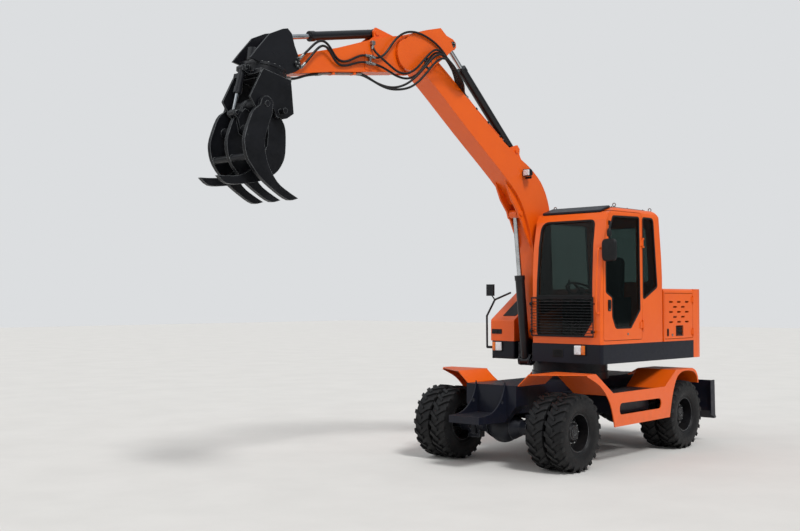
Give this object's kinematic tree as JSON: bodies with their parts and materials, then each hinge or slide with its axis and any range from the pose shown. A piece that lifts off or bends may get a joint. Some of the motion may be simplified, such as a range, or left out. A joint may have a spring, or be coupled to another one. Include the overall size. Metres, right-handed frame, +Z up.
{
  "type": "wheeled excavator with log grapple",
  "caption": "Wheeled excavator with cab, lifting boom and arm, rotating log grapple, rear dozer blade and twin tyres.",
  "frame": {"origin": "middle of the outline on the ground, seen from above, with the tyres standing at Z = 0", "axes": "+X forward along the chassis, +Y to the machine's left, +Z up"},
  "size_m": [7.3077, 2.0981, 4.981],
  "materials": {
    "orange_paint": "satin",
    "dark_paint": "satin",
    "black_paint": "satin",
    "tyre_rubber": "matt",
    "rod_chrome": "polished",
    "tinted_glass": "polished",
    "black_plastic": "matt",
    "lamp_white": "polished"
  },
  "bodies": {
    "chassis": {"chassis_frame": "dark_paint", "fender_left": "orange_paint", "fender_right": "orange_paint", "front_axle": "dark_paint", "rear_axle": "dark_paint", "drive_line": "dark_paint"},
    "knuckle_left": {"knuckle_left": "dark_paint"},
    "knuckle_right": {"knuckle_right": "dark_paint"},
    "wheel_front_left": {"tyres_front_left": "tyre_rubber", "rims_front_left": "black_paint"},
    "wheel_front_right": {"tyres_front_right": "tyre_rubber", "rims_front_right": "black_paint"},
    "wheel_rear_left": {"tyres_rear_left": "tyre_rubber", "rims_rear_left": "black_paint"},
    "wheel_rear_right": {"tyres_rear_right": "tyre_rubber", "rims_rear_right": "black_paint"},
    "blade": {"blade": "dark_paint"},
    "blade_barrel": {"blade_barrel": "dark_paint"},
    "blade_rod": {"blade_rod": "rod_chrome"},
    "upper": {"upper_frame": "dark_paint", "belt": "dark_paint", "counterweight": "orange_paint", "engine_hood": "orange_paint", "engine_block": "dark_paint", "tank_body": "orange_paint", "cab_frame": "orange_paint", "cab_glass": "tinted_glass", "front_guard": "black_paint", "seat": "black_plastic", "controls": "black_plastic", "handrails": "black_paint", "mirrors": "black_plastic", "lamps": "lamp_white"},
    "door": {"cab_door": "orange_paint", "door_glass": "tinted_glass"},
    "side_door": {"side_door": "orange_paint"},
    "engine_lid": {"engine_lid": "orange_paint"},
    "boom": {"boom": "orange_paint"},
    "boom_barrel": {"boom_barrel": "dark_paint"},
    "boom_rod": {"boom_rod": "rod_chrome"},
    "arm": {"arm": "orange_paint"},
    "arm_barrel": {"arm_barrel": "dark_paint"},
    "arm_rod": {"arm_rod": "rod_chrome"},
    "head": {"head": "dark_paint"},
    "tilt_barrel": {"tilt_barrel": "dark_paint"},
    "tilt_rod": {"tilt_rod": "rod_chrome"},
    "grapple": {"grapple_body": "black_paint"},
    "jaw_three": {"jaw_three": "black_paint"},
    "jaw_two": {"jaw_two": "black_paint"},
    "jaw_barrel_a": {"jaw_barrels_a": "dark_paint"},
    "jaw_barrel_b": {"jaw_barrels_b": "dark_paint"},
    "jaw_rod_a": {"jaw_rods_a": "rod_chrome"},
    "jaw_rod_b": {"jaw_rods_b": "rod_chrome"}
  },
  "joints": [
    {"name": "steer_left", "type": "hinge", "parent": "chassis", "child": "knuckle_left", "pos_m": [-0.239, 0.45, 0.4325], "axis": [0, 0, 1], "range_deg": [-28, 28]},
    {"name": "steer_right", "type": "hinge", "parent": "chassis", "child": "knuckle_right", "pos_m": [-0.239, -0.45, 0.4325], "axis": [0, 0, 1], "range_deg": [-28, 28]},
    {"name": "wheel_front_left_spin", "type": "hinge", "parent": "knuckle_left", "child": "wheel_front_left", "pos_m": [-0.239, 0.802, 0.4325], "axis": [0, 1, 0], "continuous": true},
    {"name": "wheel_front_right_spin", "type": "hinge", "parent": "knuckle_right", "child": "wheel_front_right", "pos_m": [-0.239, -0.802, 0.4325], "axis": [0, 1, 0], "continuous": true},
    {"name": "wheel_rear_left_spin", "type": "hinge", "parent": "chassis", "child": "wheel_rear_left", "pos_m": [-2.789, 0.802, 0.4325], "axis": [0, 1, 0], "continuous": true},
    {"name": "wheel_rear_right_spin", "type": "hinge", "parent": "chassis", "child": "wheel_rear_right", "pos_m": [-2.789, -0.802, 0.4325], "axis": [0, 1, 0], "continuous": true},
    {"name": "blade_lift", "type": "hinge", "parent": "chassis", "child": "blade", "pos_m": [-2.844, 0, 0.64], "axis": [0, 1, 0], "range_deg": [-26, 5]},
    {"name": "blade_barrel_swing", "type": "hinge", "parent": "chassis", "child": "blade_barrel", "pos_m": [-3.014, 0, 0.88], "axis": [0, -1, 0], "range_deg": [-5.2, 26.7]},
    {"name": "blade_rod_slide", "type": "slide", "parent": "blade_barrel", "child": "blade_rod", "axis": [-0.9257, 0, -0.3782], "range_m": [-0.026, 0.131]},
    {"name": "slew", "type": "hinge", "parent": "chassis", "child": "upper", "pos_m": [-1.664, 0, 1], "axis": [0, 0, 1], "continuous": true},
    {"name": "boom_lift", "type": "hinge", "parent": "upper", "child": "boom", "pos_m": [-1.48029, -0.32671, 1.48], "axis": [-0.0506, -0.9987, 0], "range_deg": [-75, 12]},
    {"name": "boom_barrel_swing", "type": "hinge", "parent": "upper", "child": "boom_barrel", "pos_m": [-1.18068, -0.34189, 1.134], "axis": [-0.0506, -0.9987, 0], "range_deg": [-70.6, 11.4]},
    {"name": "boom_rod_slide", "type": "slide", "parent": "boom_barrel", "child": "boom_rod", "axis": [0.1147, -0.0058, 0.9934], "range_m": [-0.535, 0.087]},
    {"name": "arm_curl", "type": "hinge", "parent": "boom", "child": "arm", "pos_m": [0.79679, -0.44206, 4.54], "axis": [0.0506, 0.9987, 0], "range_deg": [-12, 82]},
    {"name": "arm_barrel_swing", "type": "hinge", "parent": "boom", "child": "arm_barrel", "pos_m": [-0.90104, -0.35606, 3.745], "axis": [-0.0506, -0.9987, 0], "range_deg": [-6.7, 1.1]},
    {"name": "arm_rod_slide", "type": "slide", "parent": "arm_barrel", "child": "arm_rod", "axis": [0.7343, -0.0372, 0.6778], "range_m": [-0.114, 0.77]},
    {"name": "head_tilt", "type": "hinge", "parent": "arm", "child": "head", "pos_m": [2.70434, -0.5387, 4.225], "axis": [-0.0506, -0.9987, 0], "range_deg": [-45, 50]},
    {"name": "tilt_barrel_swing", "type": "hinge", "parent": "arm", "child": "tilt_barrel", "pos_m": [1.51586, -0.47849, 4.77], "axis": [-0.0506, -0.9987, 0], "range_deg": [-1.4, 1.5]},
    {"name": "tilt_rod_slide", "type": "slide", "parent": "tilt_barrel", "child": "tilt_rod", "axis": [0.9771, -0.0495, -0.207], "range_m": [-0.231, 0.208]},
    {"name": "grapple_turn", "type": "hinge", "parent": "head", "child": "grapple", "pos_m": [2.99696, -0.55352, 4.113], "axis": [-0.1906, 0.0097, 0.9816], "continuous": true},
    {"name": "jaw_three_close", "type": "hinge", "parent": "grapple", "child": "jaw_three", "pos_m": [3.17913, -0.56275, 3.75115], "axis": [0.0506, 0.9987, 0], "range_deg": [-50, 5]},
    {"name": "jaw_two_close", "type": "hinge", "parent": "grapple", "child": "jaw_two", "pos_m": [2.96344, -0.55182, 3.70918], "axis": [-0.0506, -0.9987, 0], "range_deg": [-50, 5]},
    {"name": "jaw_barrel_a_swing", "type": "hinge", "parent": "grapple", "child": "jaw_barrel_a", "pos_m": [3.24968, -0.56632, 4.12144], "axis": [-0.0506, -0.9987, 0], "range_deg": [-1, 8.2]},
    {"name": "jaw_rod_a_slide", "type": "slide", "parent": "jaw_barrel_a", "child": "jaw_rod_a", "axis": [0.233, -0.0118, -0.9724], "range_m": [-0.157, 0.017]},
    {"name": "jaw_barrel_b_swing", "type": "hinge", "parent": "grapple", "child": "jaw_barrel_b", "pos_m": [2.75949, -0.54149, 4.02603], "axis": [0.0506, 0.9987, 0], "range_deg": [-1, 8.2]},
    {"name": "jaw_rod_b_slide", "type": "slide", "parent": "jaw_barrel_b", "child": "jaw_rod_b", "axis": [0.1478, -0.0075, -0.989], "range_m": [-0.157, 0.017]},
    {"name": "cab_door_swing", "type": "hinge", "parent": "upper", "child": "door", "pos_m": [-1.86055, 0.92313, 2.1], "axis": [0, 0, 1], "range_deg": [0, 100]},
    {"name": "side_door_swing", "type": "hinge", "parent": "upper", "child": "side_door", "pos_m": [-3.09601, 0.98471, 1.69], "axis": [0, 0, 1], "range_deg": [0, 100]},
    {"name": "engine_lid_lift", "type": "hinge", "parent": "upper", "child": "engine_lid", "pos_m": [-2.47896, 0.04128, 2.047], "axis": [0.0506, 0.9987, 0], "range_deg": [0, 65]}
  ],
  "couplings": [
    {"joint": "steer_right", "follows": "steer_left", "ratio": 1},
    {"joint": "blade_barrel_swing", "follows": "blade_lift", "ratio": -1.0194},
    {"joint": "blade_rod_slide", "follows": "blade_lift", "m_per_rad": -0.28524},
    {"joint": "boom_barrel_swing", "follows": "boom_lift", "ratio": 0.93957},
    {"joint": "boom_rod_slide", "follows": "boom_lift", "m_per_rad": 0.40783},
    {"joint": "arm_barrel_swing", "follows": "arm_curl", "ratio": -0.07956},
    {"joint": "arm_rod_slide", "follows": "arm_curl", "m_per_rad": 0.53679},
    {"joint": "tilt_barrel_swing", "follows": "head_tilt", "ratio": 0.02738},
    {"joint": "tilt_rod_slide", "follows": "head_tilt", "m_per_rad": -0.26289},
    {"joint": "jaw_two_close", "follows": "jaw_three_close", "ratio": 1},
    {"joint": "jaw_barrel_a_swing", "follows": "jaw_three_close", "ratio": -0.16028},
    {"joint": "jaw_rod_a_slide", "follows": "jaw_three_close", "m_per_rad": 0.17789},
    {"joint": "jaw_barrel_b_swing", "follows": "jaw_three_close", "ratio": -0.16028},
    {"joint": "jaw_rod_b_slide", "follows": "jaw_three_close", "m_per_rad": 0.17789}
  ]
}
